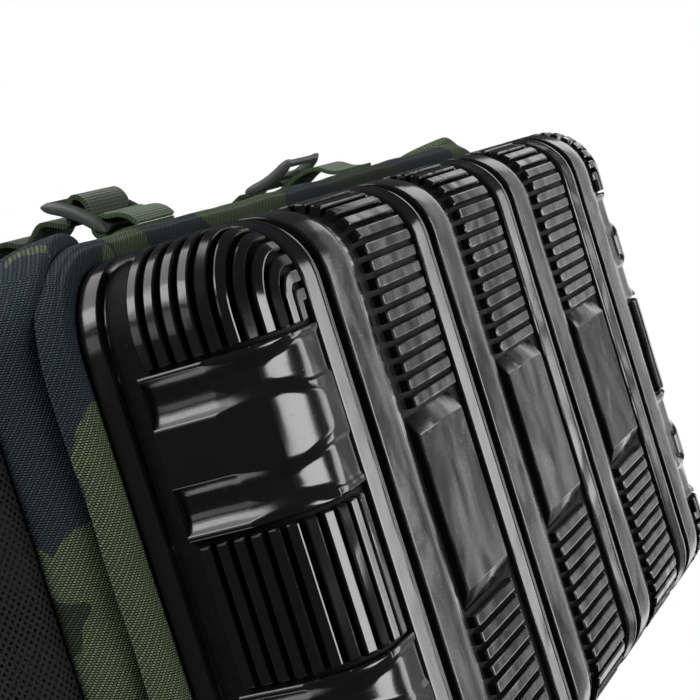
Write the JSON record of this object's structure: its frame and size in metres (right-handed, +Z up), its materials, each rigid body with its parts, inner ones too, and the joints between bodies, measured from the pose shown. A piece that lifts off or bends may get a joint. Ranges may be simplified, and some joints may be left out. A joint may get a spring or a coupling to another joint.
{
  "type": "tackle backpack",
  "caption": "Camouflage fishing tackle backpack on a black moulded hard base, with front tackle bay, zipped lid, side mesh pockets and padded straps.",
  "frame": {"origin": "middle of the moulded base's bottom face, on the ground plane", "axes": "+Z up the pack, -Y its front with the door, +Y the side worn against the back, +X the wearer's right"},
  "size_m": [0.386, 0.3034, 0.4583],
  "materials": {
    "moulded_base": "gloss",
    "stiff_board": "matte",
    "camouflage_fabric": "matte",
    "side_mesh": "matte",
    "elastic_binding": "matte",
    "zip_tape": "matte",
    "air_mesh": "matte",
    "webbing": "matte",
    "hard_plastic": "satin",
    "zip_metal": "satin"
  },
  "bodies": {
    "pack": {"base_tray": "moulded_base", "floor_board": "stiff_board", "hem_roll": "camouflage_fabric", "back_panel": "camouflage_fabric", "front_panel": "camouflage_fabric", "divider_shelf": "stiff_board", "lid_zip_track": "zip_tape", "lumbar_pad": "air_mesh", "side_panel_left": "camouflage_fabric", "side_band_left": "camouflage_fabric", "mesh_pocket_left": "side_mesh", "pocket_binding_left": "elastic_binding", "back_pad_left": "air_mesh", "shoulder_strap_left": "camouflage_fabric", "shoulder_webbing_left": "webbing", "d_ring_loop_left": "webbing", "side_panel_right": "camouflage_fabric", "side_band_right": "camouflage_fabric", "mesh_pocket_right": "side_mesh", "pocket_binding_right": "elastic_binding", "back_pad_right": "air_mesh", "shoulder_strap_right": "camouflage_fabric", "shoulder_webbing_right": "webbing", "d_ring_loop_right": "webbing"},
    "door": {"front_door": "camouflage_fabric", "door_zip_tape": "zip_tape", "lash_anchor_left": "webbing", "lash_anchor_right": "webbing", "lash_strap_left": "webbing", "lash_strap_right": "webbing"},
    "top_lid": {"lid": "camouflage_fabric"},
    "haul_handle_loop": {"haul_handle": "webbing"},
    "lid_slider_left": {"lid_zip_slider_left": "zip_metal"},
    "lid_pull_left": {"lid_zip_pull_left": "hard_plastic"},
    "door_slider_left": {"door_zip_slider_left": "zip_metal"},
    "door_pull_left": {"door_zip_pull_left": "hard_plastic"},
    "lash_lock_left": {"lash_ladder_lock_left": "hard_plastic"},
    "shoulder_lock_left": {"shoulder_ladder_lock_left": "hard_plastic"},
    "ring_left": {"d_ring_left": "zip_metal"},
    "lid_slider_right": {"lid_zip_slider_right": "zip_metal"},
    "lid_pull_right": {"lid_zip_pull_right": "hard_plastic"},
    "door_slider_right": {"door_zip_slider_right": "zip_metal"},
    "door_pull_right": {"door_zip_pull_right": "hard_plastic"},
    "lash_lock_right": {"lash_ladder_lock_right": "hard_plastic"},
    "shoulder_lock_right": {"shoulder_ladder_lock_right": "hard_plastic"},
    "ring_right": {"d_ring_right": "zip_metal"}
  },
  "joints": [
    {"name": "door_fold", "type": "hinge", "parent": "pack", "child": "door", "pos_m": [0, -0.101, 0.0672], "axis": [1, 0, 0], "range_deg": [0, 100]},
    {"name": "lid_fold", "type": "hinge", "parent": "pack", "child": "top_lid", "pos_m": [0, 0.093, 0.443], "axis": [-1, 0, 0], "range_deg": [0, 110]},
    {"name": "haul_handle_swing", "type": "hinge", "parent": "pack", "child": "haul_handle_loop", "pos_m": [0, 0.0963, 0.43], "axis": [1, 0, 0], "range_deg": [0, 95]},
    {"name": "lid_zip_left", "type": "slide", "parent": "top_lid", "child": "lid_slider_left", "axis": [-1, 0, 0], "range_m": [0, 0.14]},
    {"name": "lid_pull_swing_left", "type": "hinge", "parent": "lid_slider_left", "child": "lid_pull_left", "pos_m": [-0.009, -0.109, 0.441], "axis": [-1, 0, 0], "range_deg": [0, 110]},
    {"name": "door_zip_left", "type": "slide", "parent": "door", "child": "door_slider_left", "axis": [-1, 0, 0], "range_m": [0, 0.125]},
    {"name": "door_pull_swing_left", "type": "hinge", "parent": "door_slider_left", "child": "door_pull_left", "pos_m": [-0.009, -0.1088, 0.2405], "axis": [-1, 0, 0], "range_deg": [0, 110]},
    {"name": "lid_zip_right", "type": "slide", "parent": "top_lid", "child": "lid_slider_right", "axis": [1, 0, 0], "range_m": [0, 0.14]},
    {"name": "lid_pull_swing_right", "type": "hinge", "parent": "lid_slider_right", "child": "lid_pull_right", "pos_m": [0.009, -0.109, 0.441], "axis": [-1, 0, 0], "range_deg": [0, 110]},
    {"name": "door_zip_right", "type": "slide", "parent": "door", "child": "door_slider_right", "axis": [1, 0, 0], "range_m": [0, 0.125]},
    {"name": "door_pull_swing_right", "type": "hinge", "parent": "door_slider_right", "child": "door_pull_right", "pos_m": [0.009, -0.1088, 0.2405], "axis": [-1, 0, 0], "range_deg": [0, 110]},
    {"name": "lash_lock_tilt_left", "type": "hinge", "parent": "door", "child": "lash_lock_left", "pos_m": [-0.086, -0.1046, 0.079], "axis": [1, 0, 0], "range_deg": [-15, 30]},
    {"name": "lash_lock_tilt_right", "type": "hinge", "parent": "door", "child": "lash_lock_right", "pos_m": [0.086, -0.1068, 0.112], "axis": [-1, 0, 0], "range_deg": [-5, 30]},
    {"name": "shoulder_lock_tilt_left", "type": "hinge", "parent": "pack", "child": "shoulder_lock_left", "pos_m": [-0.1385, 0.127, 0.1605], "axis": [1, 0, 0], "range_deg": [0, 40]},
    {"name": "d_ring_swing_left", "type": "hinge", "parent": "pack", "child": "ring_left", "pos_m": [-0.107, 0.18368, 0.31059], "axis": [1, 0, 0], "range_deg": [-4, 100]},
    {"name": "shoulder_lock_tilt_right", "type": "hinge", "parent": "pack", "child": "shoulder_lock_right", "pos_m": [0.1385, 0.127, 0.1605], "axis": [1, 0, 0], "range_deg": [0, 40]},
    {"name": "d_ring_swing_right", "type": "hinge", "parent": "pack", "child": "ring_right", "pos_m": [0.107, 0.18368, 0.31059], "axis": [1, 0, 0], "range_deg": [-4, 100]}
  ]
}
